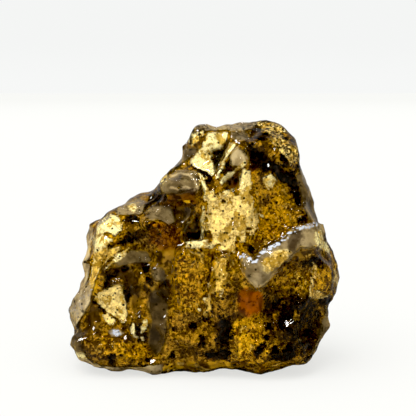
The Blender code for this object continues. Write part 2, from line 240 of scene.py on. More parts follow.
SMOKE = {
    "olive": [(-9.1, 14.2), (-8.0, 15.0), (-6.8, 14.0), (-6.1, 11.6), (-6.5, 9.0), (-6.6, 6.2),
        (-7.2, 4.1), (-8.4, 3.1), (-9.4, 4.5), (-9.7, 6.9), (-9.0, 9.3), (-9.7, 11.8)],
    # The left bubble and the low chip are pale patches painted in as highlights.
    "left_bubble_glint": [(-8.9, 18.0), (-7.9, 18.5), (-6.8, 18.0), (-6.3, 16.9), (-6.9, 16.1), (-8.3, 16.1),
        (-9.0, 16.8)],
    "low_chip_glint": [(-16.5, 7.4), (-15.8, 7.8), (-14.5, 7.6), (-13.6, 7.1), (-14.8, 6.4), (-16.0, 6.6)],
    "base_lip": [(-22.4, 3.4), (-20.7, 3.1), (-19.3, 2.2), (-17.6, 1.5), (-15.6, 1.3), (-13.5, 1.3),
        (-11.1, 1.3), (-7.2, 1.8), (-7.2, -1.1), (-19.7, -1.1), (-22.7, 2.0)],
    "foot_skin": [(-23.3, 7.3), (-20.9, 8.0), (-20.6, 6.6), (-21.0, 4.8), (-20.3, 3.4), (-21.7, 3.6),
        (-23.7, 4.1)],
    "summit_cap": [(-2.5, 41.5), (-1.8, 42.7), (0.2, 43.2), (1.8, 42.4), (4.1, 42.9), (6.6, 42.7),
        (9.4, 43.2), (8.5, 41.9), (5.1, 40.9), (3.8, 41.4), (0.5, 41.2), (-1.5, 41.4)],
    "summit_grey": [(4.1, 41.4), (6.5, 41.2), (7.5, 39.9), (6.1, 39.5), (5.1, 39.5), (4.3, 40.2)],
    "v_wing": [(5.5, 38.7), (6.5, 37.7), (7.0, 36.4), (5.8, 35.4), (4.5, 35.6), (4.2, 36.9),
        (4.8, 38.1)],
    "violet_block": [(-7.5, 32.2), (-6.5, 33.2), (-5.5, 33.9), (-4.5, 34.7), (-1.5, 34.5), (-0.8, 32.5),
        (-1.2, 30.7), (-3.2, 31.0), (-5.5, 30.7), (-7.2, 31.2)],
    "violet_foot": [(-9.7, 27.8), (-8.9, 28.5), (-7.5, 28.8), (-6.2, 29.2), (-5.5, 28.2), (-4.9, 26.1),
        (-6.2, 25.5), (-7.9, 26.5), (-9.2, 26.1), (-9.7, 26.8)],
    "violet_shoulder": [(-3.2, 38.5), (-0.8, 38.7), (-1.5, 37.7), (-2.5, 36.7), (-3.8, 36.1),
        (-5.5, 34.5), (-6.2, 35.2), (-4.8, 36.9)],
    "feather": [(-3.5, 28.8), (-2.5, 28.8), (-2.2, 27.5), (-3.5, 25.8), (-4.5, 25.5), (-3.2, 27.2)],
    "grey_wedge": [(-15.5, 19.3), (-14.0, 20.4), (-12.6, 21.4), (-9.6, 21.0), (-8.9, 19.3),
        (-12.7, 19.0), (-14.3, 18.7)],
    "left_skin": [(-15.6, 27.5), (-13.9, 28.8), (-10.9, 30.2), (-9.9, 28.8), (-10.6, 27.2),
        (-13.2, 27.2)],
    "left_rim": [(-20.3, 26.1), (-18.5, 25.1), (-19.0, 22.4), (-19.6, 19.3), (-21.1, 19.3),
        (-20.7, 22.2)],
    "left_edge": [(-21.1, 19.3), (-19.6, 19.3), (-19.2, 17.6), (-19.8, 15.6), (-21.5, 13.8),
        (-22.9, 13.5), (-22.1, 16.3)],
    "left_band": [(-22.2, 13.2), (-20.5, 14.9), (-19.1, 16.3), (-18.1, 17.6), (-18.8, 14.9),
        (-19.5, 12.1), (-20.5, 10.4), (-21.8, 8.3), (-23.0, 8.0), (-23.9, 9.7), (-23.6, 12.1)],
    "ledge": [(6.1, 20.0), (6.9, 20.7), (7.6, 19.7), (8.4, 19.3), (8.6, 19.8), (9.6, 21.0),
        (10.9, 21.7), (12.6, 22.4), (13.6, 23.4), (14.3, 24.3), (15.4, 25.0), (16.9, 25.5),
        (19.6, 25.8), (20.0, 24.4), (19.7, 22.1), (17.7, 21.9), (16.0, 21.9), (14.3, 20.2),
        (13.0, 19.0), (11.8, 17.8), (11.0, 16.6), (9.6, 15.2), (8.6, 14.9), (7.6, 15.9), (6.7, 17.6)],
    "right_strip": [(15.8, 35.6), (17.5, 32.9), (18.9, 29.9), (19.8, 26.1), (17.3, 26.1), (16.2, 29.9),
        (15.2, 33.9)],
    "low_right_edge": [(20.5, 11.1), (21.8, 12.8), (21.9, 9.3), (20.9, 5.9), (19.3, 3.8), (18.1, 3.4),
        (19.2, 7.6)],
}
RED = {
    "pit_red": SHADE["red_pit"],
    "block_red": [(-7.5, 31.0), (-1.5, 31.4), (-1.3, 29.3), (-4.9, 28.5), (-7.5, 28.8)],
    "low_red": [(-9.2, 26.1), (-4.9, 25.8), (-2.9, 23.1), (-4.5, 21.4), (-6.9, 21.0), (-9.3, 22.7)],
    "nodule": [(5.6, 14.2), (6.9, 15.0), (8.6, 14.9), (9.8, 13.7), (10.0, 11.9), (9.0, 10.4),
        (7.3, 9.9), (5.8, 10.7), (5.1, 12.5)],
    "under_band": [(7.5, 36.1), (9.5, 34.5), (7.5, 34.4), (7.0, 35.6)],
}
# How far each feature stands out from the skin or sinks into it, and how wide its edge is, in millimetres.
RELIEF = [
    ("ledge", 0.9, 0.2), ("violet_block", 0.4, 0.2), ("grey_wedge", 0.4, 0.2), ("left_band", 0.3, 0.4),
    ("column", 0.5, 0.4), ("step_edge", 0.4, 0.2), ("v_wing", 0.3, 0.3), ("nodule", 0.3, 0.8),
    ("centre_leaf", 0.3, 0.3), ("bowl_leaf", -0.3, 0.3), ("summit_leaf", 0.2, 0.3),
    ("summit_pit", -0.9, 0.3), ("v_slit", -0.9, 0.2), ("red_pit", -1.1, 0.4), ("hollow", -1.3, 0.2),
    ("slit", -0.9, 0.2), ("cavity", -1.0, 0.4), ("left_column", -0.4, 0.3), ("arch", -0.7, 0.5),
    ("under_ledge", -0.6, 0.4), ("honey_panel", -0.35, 0.2), ("black_blob", -0.4, 0.3),
    ("under_block", -0.6, 0.3), ("black_band", -0.2, 0.4), ("notch", -0.4, 0.3),
]
# Lines on the front: dark cracks, pale wisps of film, and the crests that CREST_SIZES names.
LINES = {
    "crack_bowl_a": [(-16.1, 12.3), (-15.1, 11.8), (-14.1, 11.4), (-13.2, 11.1)],
    "crack_bowl_b": [(-17.3, 10.9), (-16.3, 9.7), (-15.3, 9.7), (-14.4, 9.0)],
    "crack_bowl_c": [(-14.2, 15.6), (-13.7, 14.2), (-13.2, 12.6)],
    "crack_summit_a": [(-0.8, 38.9), (-0.2, 39.7), (0.5, 40.4)],
    "crack_summit_b": [(0.2, 37.1), (1.0, 36.1), (1.5, 34.9)],
    "crack_centre_a": [(0.5, 28.5), (1.7, 27.7), (2.5, 26.1)],
    "crack_centre_b": [(4.5, 29.5), (5.9, 28.8), (6.9, 27.7)],
    "crack_centre_c": [(3.2, 24.6), (4.5, 23.4)],
    "crack_left": [(-16.1, 22.7), (-17.5, 21.4)],
    "crack_column": [(1.5, 15.6), (2.7, 17.5), (3.5, 19.3)],
    "crack_panel": [(1.5, 20.7), (0.8, 17.6), (0.5, 14.2), (-0.9, 12.8)],
    "crack_block": [(-4.3, 31.4), (-3.2, 31.4), (-2.0, 31.7)],
    "wisp_blade": [(-1.7, 34.4), (-0.8, 33.7), (-0.3, 32.4), (0.2, 31.0), (0.8, 29.9)],
    "wisp_ledge": [(6.1, 18.3), (6.9, 16.9), (7.8, 15.7), (8.6, 14.9), (9.6, 15.4), (11.0, 16.6),
        (12.0, 18.0)],
    "wisp_shelf": [(14.3, 19.3), (16.0, 19.8), (17.7, 20.7), (19.2, 21.4)],
    "wisp_band_a": [(-18.4, 18.0), (-18.8, 16.4), (-19.3, 15.2), (-19.5, 13.7), (-19.8, 11.9),
        (-20.5, 10.7), (-21.7, 9.0)],
    "wisp_band_b": [(-19.2, 19.3), (-19.8, 17.6), (-20.1, 15.9), (-20.8, 14.2), (-21.2, 12.5)],
    "wisp_band_c": [(-20.1, 14.9), (-19.8, 13.2), (-20.2, 11.3), (-21.1, 9.9), (-22.1, 8.3)],
    "wisp_bulge": [(19.5, 20.4), (19.0, 19.0), (18.7, 16.9), (18.2, 15.6), (17.9, 14.2)],
    "wisp_curl_a": [(14.7, 18.7), (15.4, 17.6), (15.7, 16.3), (16.2, 14.9), (17.1, 13.8)],
    "wisp_curl_b": [(13.7, 18.3), (14.5, 17.3), (14.9, 15.9)],
    "wisp_feather_a": [(-1.5, 29.9), (-1.2, 28.5), (-1.7, 27.2), (-2.5, 26.0)],
    "wisp_feather_b": [(-2.5, 28.8), (-2.3, 27.8), (-3.0, 26.6), (-4.0, 25.8)],
    "wisp_block": [(-5.5, 33.7), (-4.2, 34.2), (-2.7, 34.0), (-1.7, 33.2), (-1.3, 31.9)],
    "wisp_block_low": [(-5.7, 32.0), (-4.5, 31.7), (-3.2, 32.0), (-1.8, 31.5)],
    "wisp_column_a": [(1.8, 19.3), (2.9, 20.4), (3.9, 20.4), (4.2, 19.0)],
    "wisp_column_b": [(3.5, 19.3), (3.2, 17.6), (2.5, 15.9), (1.5, 14.5)],
    "wisp_bowl": [(-16.5, 7.4), (-15.8, 6.6), (-14.8, 6.4), (-13.8, 7.1)],
    "wisp_left": [(-17.8, 24.8), (-18.7, 23.4), (-19.2, 21.7), (-19.5, 20.0)],
    "wisp_right": [(21.6, 18.3), (22.1, 17.3), (22.1, 15.7), (21.6, 14.5)],
    "v_left": [(4.8, 39.2), (3.3, 36.9), (2.0, 33.4)],
    "v_right": [(2.7, 32.7), (4.0, 34.0), (6.8, 36.1)],
    "v_foot": [(-1.0, 34.2), (-0.0, 31.9), (1.0, 30.0), (2.7, 30.2), (3.5, 31.5)],
    "upright": [(-0.3, 28.8), (-0.3, 23.1)],
    "step": [(-2.9, 22.7), (1.5, 22.1)],
    "blade": [(-16.9, 18.3), (-14.7, 20.4), (-12.8, 21.7)],
    "ledge_top": [(6.1, 20.2), (6.9, 20.7), (7.7, 19.5), (8.6, 19.5), (9.6, 21.0), (12.6, 22.6),
        (14.3, 24.3), (15.9, 25.1), (18.8, 25.8)],
    "ledge_foot": [(6.7, 17.6), (8.6, 14.9), (10.6, 16.3), (12.0, 18.3), (14.7, 20.0), (19.3, 21.4)],
}
# The height and half width of each sharp crest, in millimetres.
CREST_SIZES = {
    "v_left": (0.6, 0.30), "v_right": (0.6, 0.30), "v_foot": (0.5, 0.30), "upright": (0.6, 0.30),
    "step": (0.5, 0.30), "blade": (0.6, 0.30), "ledge_top": (0.5, 0.35), "ledge_foot": (0.3, 0.30),
}


def only(thing):
    """Selects one object and makes it active."""
    bpy.ops.object.select_all(action="DESELECT")
    thing.select_set(True)
    bpy.context.view_layer.objects.active = thing


def modify(thing, kind, **settings):
    """Adds a modifier and applies it."""
    only(thing)
    modifier = thing.modifiers.new(kind.lower(), kind)
    for name, value in settings.items():
        setattr(modifier, name, value)
    bpy.ops.object.modifier_apply(modifier=modifier.name)


def copy_of(thing, name):
    """A new object with its own copy of a mesh."""
    new = bpy.data.objects.new(name, thing.data.copy())
    bpy.context.scene.collection.objects.link(new)
    new.data.materials.clear()
    return new


def points_of(thing):
    """Where a mesh's vertices are, one row for each."""
    co = np.empty(len(thing.data.vertices) * 3, np.float32)
    thing.data.vertices.foreach_get("co", co)
    return co.reshape(-1, 3).astype(float)


def normals_of(thing):
    """Which way the surface faces at each vertex."""
    no = np.empty(len(thing.data.vertices) * 3, np.float32)
    thing.data.vertex_normals.foreach_get("vector", no)
    return no.reshape(-1, 3).astype(float)


def move_points(thing, points):
    thing.data.vertices.foreach_set("co", points.astype(np.float32).ravel())
    thing.data.update()


def rough_noise(points, width, seed, octaves=4):
    """Ragged noise from about -1 to 1 at each point, with lumps of this width."""
    shift = Vector((seed * 7.31, seed * -3.17, seed * 5.73))
    return np.array([noise.fractal(Vector(p) / width + shift, 0.9, 2.1, octaves) for p in points])


def ease(x, low, high):
    """0 below low, 1 above high, and a smooth rise between."""
    t = np.clip((x - low) / (high - low), 0, 1)
    return t * t * (3 - 2 * t)


def seen(points):
    """Where the points show on the outlines' plane from the eye point, in millimetres."""
    far = (PLANE - EYE.y) / (points[:, 1] - EYE.y)
    return np.stack([EYE.x + (points[:, 0] - EYE.x) * far, EYE.z + (points[:, 2] - EYE.z) * far], 1) / MM


def tilt(points, normals):
    """1 where the surface faces the eye point, 0 where it is edge on, -1 where it faces away."""
    to_eye = np.array(EYE) - points
    return (normals * to_eye).sum(1) / np.linalg.norm(to_eye, axis=1)


def facing(points, normals):
    """1 where the surface shows to the eye point, 0 where it is edge on or turned away."""
    return ease(tilt(points, normals), 0.0, 0.35)


def from_line(at, line):
    """How far each place on the plane is from a line of points."""
    best = np.full(len(at), 1e9)
    for a, b in zip(line[:-1], line[1:]):
        a, b = np.array(a), np.array(b)
        along = np.clip(((at - a) @ (b - a)) / ((b - a) @ (b - a)), 0, 1)
        best = np.minimum(best, np.linalg.norm(at - a - along[:, None] * (b - a), axis=1))
    return best


def within(at, outline):
    """How far each place on the plane is inside an outline, less than 0 outside it, and -9 far from it."""
    corners = np.array(outline)
    close = ((at > corners.min(0) - 1.5) & (at < corners.max(0) + 1.5)).all(1)
    far, at = np.full(len(at), -9.0), at[close]
    crossed = np.zeros(len(at), bool)
    for a, b in zip(outline, outline[1:] + outline[:1]):
        if a[1] != b[1]:
            between = (a[1] > at[:, 1]) != (b[1] > at[:, 1])
            crossed ^= between & (at[:, 0] < a[0] + (b[0] - a[0]) * (at[:, 1] - a[1]) / (b[1] - a[1]))
    far[close] = from_line(at, outline + outline[:1]) * np.where(crossed, 1, -1)
    return far


def within_any(at, outlines):
    """How far each place is inside the outline that it is furthest inside."""
    return np.max([within(at, outline) for outline in outlines.values()], axis=0)


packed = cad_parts["copal"]
resin = copy_of(packed, "resin_lump")
only(resin)
bpy.ops.object.mode_set(mode="EDIT")
bpy.ops.mesh.select_all(action="SELECT")
bpy.ops.mesh.remove_doubles(threshold=0.001 * MM)
bpy.ops.object.mode_set(mode="OBJECT")
modify(resin, "REMESH", mode="VOXEL", voxel_size=FINE)
modify(resin, "SMOOTH", factor=0.5, iterations=3)

points, normals = points_of(resin), normals_of(resin)
at, front = seen(points), facing(points, normals)
outlines = {**GOLD, **HONEY, **BLACK, **SHADE, **SMOKE, **RED}
ragged = rough_noise(points, 1.5 * MM, 4) * 0.25
rise = np.zeros(len(points))
for name, height, edge in RELIEF:
    rise += height * ease(within(at, outlines[name]) + ragged, -edge / 2, edge / 2)
for name, (height, half_width) in CREST_SIZES.items():
    rise += height * np.exp(-np.abs(from_line(at, LINES[name]) + ragged * 0.4) / half_width)
move_points(resin, points + normals * (rise * front * MM)[:, None])
modify(resin, "REMESH", mode="VOXEL", voxel_size=FINE)
modify(resin, "SMOOTH", factor=0.5, iterations=1)
points = points_of(resin)
# The foremost half millimetre is pressed back to less than half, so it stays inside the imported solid's box.
nose = cad_low[1] + 0.5 * MM
points[:, 1] = np.maximum(points[:, 1], nose + 0.45 * (points[:, 1] - nose))
move_points(resin, points)
skin = copy_of(resin, "skin")
points, normals = points_of(resin), normals_of(resin)
at, front = seen(points), facing(points, normals)
SMOOTH_PARTS = {**GOLD, **{name: outlines[name] for name in (
    "ledge", "grey_wedge", "left_band", "left_rim", "violet_block", "violet_foot", "honey_panel", "v_wing",
    "olive_patch", "left_lip", "right_strip", "summit_cap", "hollow", "black_band", "left_yellow", "nodule",
)}}
chipped = 0.35 + 0.65 * ease(rough_noise(points, 5 * MM, 8), -0.35, 0.15)
chipped = np.where(front > 0, chipped * (0.2 + 0.8 * ease(-within_any(at, SMOOTH_PARTS), -0.4, 0.4)), chipped)
rough = resin.vertex_groups.new(name="rough")
for v, share in enumerate(chipped):
    if share > 0.01:
        rough.add([v], float(share), "REPLACE")
chips = bpy.data.textures.new("fine_chips", "VORONOI")
chips.distance_metric = "DISTANCE_SQUARED"
chips.noise_scale = CHIP_WIDTH
modify(resin, "DISPLACE", texture=chips, strength=CHIP_DEPTH, mid_level=0.4, vertex_group="rough")
grit = bpy.data.textures.new("grit", "VORONOI")
grit.distance_metric = "DISTANCE_SQUARED"
grit.noise_scale = GRIT_WIDTH
modify(resin, "DISPLACE", texture=grit, strength=GRIT_DEPTH, mid_level=0.4, vertex_group="rough")
modify(resin, "DECIMATE", ratio=min(1.0, MOST_FACES / (2 * len(resin.data.polygons))))
resin.vertex_groups.clear()
points = points_of(resin)
points[:, 2] = np.maximum(points[:, 2], 0.0)
move_points(resin, points)
resin.data.shade_smooth()
resin.data.set_sharp_from_angle(angle=SHARP_RIM)


class Value:
    """A number at a socket.  Sums written with it add the material's Math nodes."""

    def __init__(self, socket):
        self.socket = socket

    def math(self, operation, *terms):
        terms = terms or (self,)
        node = self.socket.id_data.nodes.new("ShaderNodeMath")
        node.operation = operation
        for place, term in zip(node.inputs, terms):
            plug(place, term)
        return Value(node.outputs[0])

    def __add__(self, other):
        return self.math("ADD", self, other)

    def __sub__(self, other):
        return self.math("SUBTRACT", self, other)

    def __rsub__(self, other):
        return self.math("SUBTRACT", other, self)

    def __mul__(self, other):
        return self.math("MULTIPLY", self, other)

    __radd__ = __add__
    __rmul__ = __mul__

    def between(self, low, high):
        """0 below low, 1 above high, and a smooth rise between."""
        node = self.socket.id_data.nodes.new("ShaderNodeMapRange")
        node.interpolation_type = "SMOOTHSTEP"
        for name, term in (("Value", self), ("From Min", low), ("From Max", high)):
            plug(node.inputs[name], term)
        return Value(node.outputs["Result"])


def plug(place, term):
    """Puts a link or a plain value into a socket."""
    if isinstance(term, Value):
        place.id_data.links.new(term.socket, place)
    else:
        place.default_value = term


class Finish:
    """A material under way."""

    def __init__(self, name):
        self.material = bpy.data.materials.new(name)
        self.material.use_nodes = True
        self.nodes = self.material.node_tree.nodes
        self.nodes.clear()

    def out(self, kind, output=0, settings=None, **sockets):
        """Adds a node with its settings and its sockets' values or links, and gives one of its outputs."""
        node = self.nodes.new("ShaderNode" + kind)
        for name, value in (settings or {}).items():
            setattr(node, name, value)
        for name, term in sockets.items():
            plug(node.inputs[name.replace("_", " ")], term)
        return Value(node.outputs[output])

    def noise(self, width, detail=4.0, roughness=0.6):
        place = self.out("TexCoord", "Object")
        return self.out("TexNoise", 0, None, Vector=place, Scale=1 / width, Detail=detail,
                        Roughness=roughness)

    def dots(self, width):
        """How far each place is from the nearest of many scattered dots."""
        place = self.out("TexCoord", "Object")
        return self.out("TexVoronoi", 0, None, Vector=place, Scale=1 / width)

    def share(self, name):
        """An attribute of the mesh."""
        return self.out("Attribute", "Fac", {"attribute_name": name})

    def mix(self, factor, a, b, how="MIX"):
        node = self.nodes.new("ShaderNodeMix")
        node.data_type = "RGBA"
        node.blend_type = how
        for place, term in ((node.inputs[0], factor), (node.inputs[6], a), (node.inputs[7], b)):
            plug(place, (*term, 1) if isinstance(term, tuple) else term)
        return Value(node.outputs[2])

    def blend(self, factor, a, b):
        node = self.nodes.new("ShaderNodeMixShader")
        for place, term in zip(node.inputs, (factor, a, b)):
            plug(place, term)
        return Value(node.outputs[0])

    def done(self, surface, volume=None):
        output = self.nodes.new("ShaderNodeOutputMaterial")
        plug(output.inputs["Surface"], surface)
        if volume is not None:
            plug(output.inputs["Volume"], volume)
        return self.material


def give_share(thing, name, shares):
    """Stores a number from 0 to 1 on each vertex."""
    layer = thing.data.attributes.get(name) or thing.data.attributes.new(name, "FLOAT", "POINT")
    layer.data.foreach_set("value", shares.astype(np.float32))


points, normals = points_of(resin), normals_of(resin)
at, front = seen(points), facing(points, normals)
crisp = rough_noise(points, 0.8 * MM, 31)
broken = ease(rough_noise(points, 0.5 * MM, 32), -0.1, 0.1)
# Frost: along the ledge's top edge and on the low chip it is a painted highlight that stands for glints; on
# the summit cap and the left band it is a pale frosted patch, and on the sides turned away it is worn
# frosting.
frost_and_highlight = broken * ease(0.32 - from_line(at, LINES["ledge_top"]) + 0.3 * crisp, -0.05, 0.1)
frost_and_highlight = np.maximum(frost_and_highlight, 0.22 * ease(within(at, outlines["summit_cap"]) + 0.5 * crisp, -0.2, 0.5))
frost_and_highlight = np.maximum(frost_and_highlight, 0.25 * ease(within(at, outlines["left_band"]) + 0.5 * crisp, -0.2, 0.5))
frost_and_highlight = np.maximum(frost_and_highlight, 0.4 * ease(within(at, outlines["low_chip_glint"]) + 0.3 * crisp, -0.2, 0.2))
frost_and_highlight = np.maximum(frost_and_highlight * front, 0.3 * ease(rough_noise(points, 9 * MM, 33), 0.35, 0.7) * (1 - front))
give_share(resin, "frost_and_highlight", frost_and_highlight)

finish = Finish("clear_resin")
worn = finish.noise(4 * MM)
dent = finish.out("Bump", 0, None, Strength=0.15, Distance=0.10 * MM, Height=finish.noise(1.2 * MM, 2.0))
clear = finish.out("BsdfPrincipled", 0, None, Base_Color=RESIN_TINT,
                   Roughness=0.008 + 0.03 * worn.between(0.45, 0.7), IOR=RESIN_IOR, Transmission_Weight=1.0,
                   Normal=dent)
scratches = finish.out("Bump", 0, None, Strength=1.0, Distance=0.15 * MM, Height=finish.noise(0.35 * MM, 3.0))
# A pale, rough coat: frosted skin, and a painted highlight on the ledge's top edge and the low chip.
frost_and_glint_coat = finish.out("BsdfPrincipled", 0, None, Base_Color=FROST_AND_HIGHLIGHT_TINT, Roughness=0.25, Normal=scratches)
patchy = (finish.share("frost_and_highlight") * 1.3 + finish.noise(0.4 * MM) - 0.85).between(0.0, 0.25)
absorption = finish.out("VolumeAbsorption", 0, None, Color=RESIN_ABSORBS, Density=RESIN_DEPTH)
resin.data.materials.append(finish.done(finish.blend(patchy, clear, frost_and_glint_coat), absorption))
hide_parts("copal")
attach(resin, "root")

# ---------------------------------------------------------------------------------------------------------
# Cracks.  As the lump dried, it split inside along curved sheets that follow its skin.  Each crack is a film
# of air no thicker than paper, so light turns back at it and it shows as gold leaf, pricked with gas
# pinholes.  Here each is a thin solid film with a gold surface, which stands for the look of that air gap.

FILM_THICKNESS = 0.03 * MM
MOST_ON_ONE_SIDE = 80000
# How far a surface has to turn to the eye point to count as the front.
SHOWN = 0.02
# How wide a wisp is, in millimetres.
WISP = 0.2
# What the film is tinted by, where it is grained, patched, stained, rimmed or cracked.  The fold tint is
# painted shade in its creases; the shade tint darkens it where bark lies and is painted shade in the dim
# parts.
GRAIN_DARK = (0.18, 0.10, 0.06)
GRAIN_LIGHT = (1.85, 1.80, 1.60)
PATCH_TINT = (0.66, 0.58, 0.38)
FOLD_SHADE_TINT = (0.32, 0.20, 0.12)
RED_TINT = (0.45, 0.20, 0.09)
BARK_AND_SHADE_TINT = (0.16, 0.11, 0.09)
RIM_TINT = (0.30, 0.18, 0.06)
CRACK_TINT = (0.12, 0.06, 0.02)
SPECK_COLOUR = (0.03, 0.017, 0.005)
HOLE_COLOUR = (0.008, 0.005, 0.002)
# Where the film is only in specks, where it is broken up, and how dark the dark parts are, from 0 to 1.
SPECKLED = ("top_right_leaf", "top_right_low", "summit_specks")
CRUMBLED = ("centre_leaf", "column", "column_foot")
# Under BLACK names this is how far bark darkens the films; under SHADE names it is how deep the painted shade
# is.
DARKNESS = {
    "crust": 0.6, "under_ledge": 0.0, "cavity": 0.85, "hollow": 0.75, "left_foot": 0.3, "ledge_dark": 0.8,
    "red_pit": 0.95, "shelf_wedge": 0.4, "block_gloom": 0.6, "low_red_gloom": 0.45, "foot_gloom": 0.3,
    "olive_patch": 0.5, "left_column": 0.6, "arch": 0.75,
}
# Where the resin is plain and clear of grains, how deep a yellow the leaf is, and how light each smoky part.
PLAIN = (
    "ledge", "violet_block", "violet_foot", "left_band", "left_rim", "grey_wedge", "left_yellow", "nodule",
    "foot_strip", "v_wing", "feather", "violet_shoulder", "olive_patch", "right_strip", "left_lip",
    "arch", "bowl_shade", "left_foot", "foot_skin", "base_lip", "hollow", "cavity", "under_block",
    "shelf_wedge", "left_edge", "red_pit", "left_column",
)
YELLOW = {
    "column": 0.85, "column_foot": 0.85, "far_right_streak": 0.6, "right_streak": 0.8, "low_right_leaf": 0.8,
    "left_facet": 0.5, "ledge_leaf": 0.7, "centre_leaf": 0.55, "bowl_leaf": 0.45, "bowl_leaf_low": 0.5,
    "top_right_leaf": 0.6, "top_right_low": 0.6, "left_glow": 0.85, "upward_arm": 0.3,
}
# The left bubble and the low chip are made light as painted highlights.
SMOKE_LIGHT = {
    "summit_cap": 0.6, "summit_grey": 0.2, "v_wing": 0.8, "violet_block": 0.15, "violet_foot": 0.2,
    "violet_shoulder": 0.1, "feather": 0.5, "grey_wedge": 0.05, "left_skin": 0.4, "left_rim": 0.9,
    "left_band": 0.6, "ledge": 0.42, "right_strip": 0.0, "low_right_edge": 0.1, "base_lip": 0.5,
    "foot_skin": 0.0, "left_edge": 0.6, "olive": 0.0, "left_bubble_glint": 0.2, "low_chip_glint": 0.9,
}
CRACKS = {name: line for name, line in LINES.items() if name.startswith("crack")}
WISPS = {name: line for name, line in LINES.items() if name.startswith("wisp")}


def film(name, depth, grain, crumple):
    """A sheet this many millimetres under the skin, with its points, their places on the plane and facing."""
    sheet = copy_of(skin, name)
    if grain > FINE:
        modify(sheet, "SMOOTH", factor=0.5, iterations=int(depth * 12))
        modify(sheet, "REMESH", mode="VOXEL", voxel_size=grain)
    points, normals = points_of(sheet), normals_of(sheet)
    move_points(sheet, points - normals * depth * MM)
    modify(sheet, "SMOOTH", factor=0.5, iterations=1 + int(depth * 3))
    modify(sheet, "DISPLACE", texture=chips, strength=crumple * MM, mid_level=0.4)
    modify(sheet, "DISPLACE", texture=grit, strength=crumple * 0.4 * MM, mid_level=0.4)
    points, normals = points_of(sheet), normals_of(sheet)
    return sheet, points, seen(points), facing(points, normals)


def cut_film(sheet, keep):
    """Keeps the faces whose corners are all kept, and gives them a thickness."""
    only(sheet)
    drop = [not all(keep[v] for v in face.vertices) for face in sheet.data.polygons]
    sheet.data.vertices.foreach_set("select", np.zeros(len(sheet.data.vertices), bool))
    sheet.data.edges.foreach_set("select", np.zeros(len(sheet.data.edges), bool))
    sheet.data.polygons.foreach_set("select", drop)
    bpy.ops.object.mode_set(mode="EDIT")
    bpy.ops.mesh.select_mode(type="FACE")
    bpy.ops.mesh.delete(type="FACE")
    bpy.ops.object.mode_set(mode="OBJECT")
    modify(sheet, "DECIMATE", ratio=min(1.0, MOST_ON_ONE_SIDE / (2 * len(sheet.data.polygons))))
    modify(sheet, "SOLIDIFY", thickness=FILM_THICKNESS, offset=-1.0)
    sheet.data.shade_smooth()
    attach(sheet, "root")


def film_finish(name, dark, light, low_dark, low_light, metal, rough):
    """A crumpled film, light where it is wide and dark where it closes, tinted where it is marked so."""
    finish = Finish(name)
    busy = 1 - finish.share("plain")
    wide, fine = finish.noise(2.0 * MM, 5.0), finish.noise(0.45 * MM, 3.0)
    height = wide + (fine - 0.5) * 0.9 * busy
    colour = finish.mix(height.between(0.43, 0.51), dark, light)
    lower = finish.mix(height.between(0.46, 0.54), low_dark, low_light)
    colour = finish.mix(finish.share("low"), colour, lower)
    grains = finish.noise(0.7 * MM, 5.0, 0.75)
    colour = finish.mix((1 - grains.between(0.43, 0.45)) * 0.9 * busy, colour, GRAIN_DARK, "MULTIPLY")
    colour = finish.mix(grains.between(0.55, 0.57) * 0.8 * busy, colour, GRAIN_LIGHT, "MULTIPLY")
    patch = finish.noise(4 * MM, 2.0).between(0.44, 0.50) * busy
    colour = finish.mix(patch * 0.4, colour, PATCH_TINT, "MULTIPLY")
    # Thin dark lines along the film's folds: painted shade in its creases.
    fold_shade_lines = (finish.noise(1.3 * MM, 3.0) - 0.5).math("ABSOLUTE")
    colour = finish.mix((1 - fold_shade_lines.between(0.006, 0.018)) * busy, colour, FOLD_SHADE_TINT, "MULTIPLY")
    pale = finish.share("pale")
    grey_low = finish.mix(pale, (0.06, 0.037, 0.012), (0.32, 0.23, 0.11))
    grey_high = finish.mix(pale, (0.17, 0.112, 0.040), (0.66, 0.53, 0.31))
    grey = finish.mix(height.between(0.36, 0.62), grey_low, grey_high)
    colour = finish.mix(finish.share("smoke"), colour, grey)
    colour = finish.mix(finish.share("red"), colour, RED_TINT, "MULTIPLY")
    # Darkened where bark lies, and painted shade over the dim parts, hollows and undersides.
    colour = finish.mix(finish.share("shade"), colour, BARK_AND_SHADE_TINT, "MULTIPLY")
    colour = finish.mix(finish.share("rim"), colour, RIM_TINT, "MULTIPLY")
    colour = finish.mix(finish.share("crack"), colour, CRACK_TINT, "MULTIPLY")
    specked = finish.share("specked") * (1 - grains.between(0.47, 0.51))
    colour = finish.mix(specked, colour, SPECK_COLOUR)
    crowded = finish.noise(3.0 * MM, 2.0).between(0.42, 0.50) * busy.between(0.1, 0.4)
    holes = (1 - finish.dots(0.9 * MM).between(0.18, 0.22)) * crowded
    holes = holes.math("MAXIMUM", holes, 1 - finish.dots(1.9 * MM).between(0.11, 0.13))
    colour = finish.mix(holes, colour, HOLE_COLOUR)
    crumple = finish.out("Bump", 0, None, Strength=1.0, Distance=0.3 * MM, Height=height)
    milky = finish.share("smoke")
    return finish.done(finish.out("BsdfPrincipled", 0, None, Base_Color=colour, Metallic=metal * (1 - milky),
                                  Roughness=rough + milky * 0.35, Specular_IOR_Level=0.08, Normal=crumple))


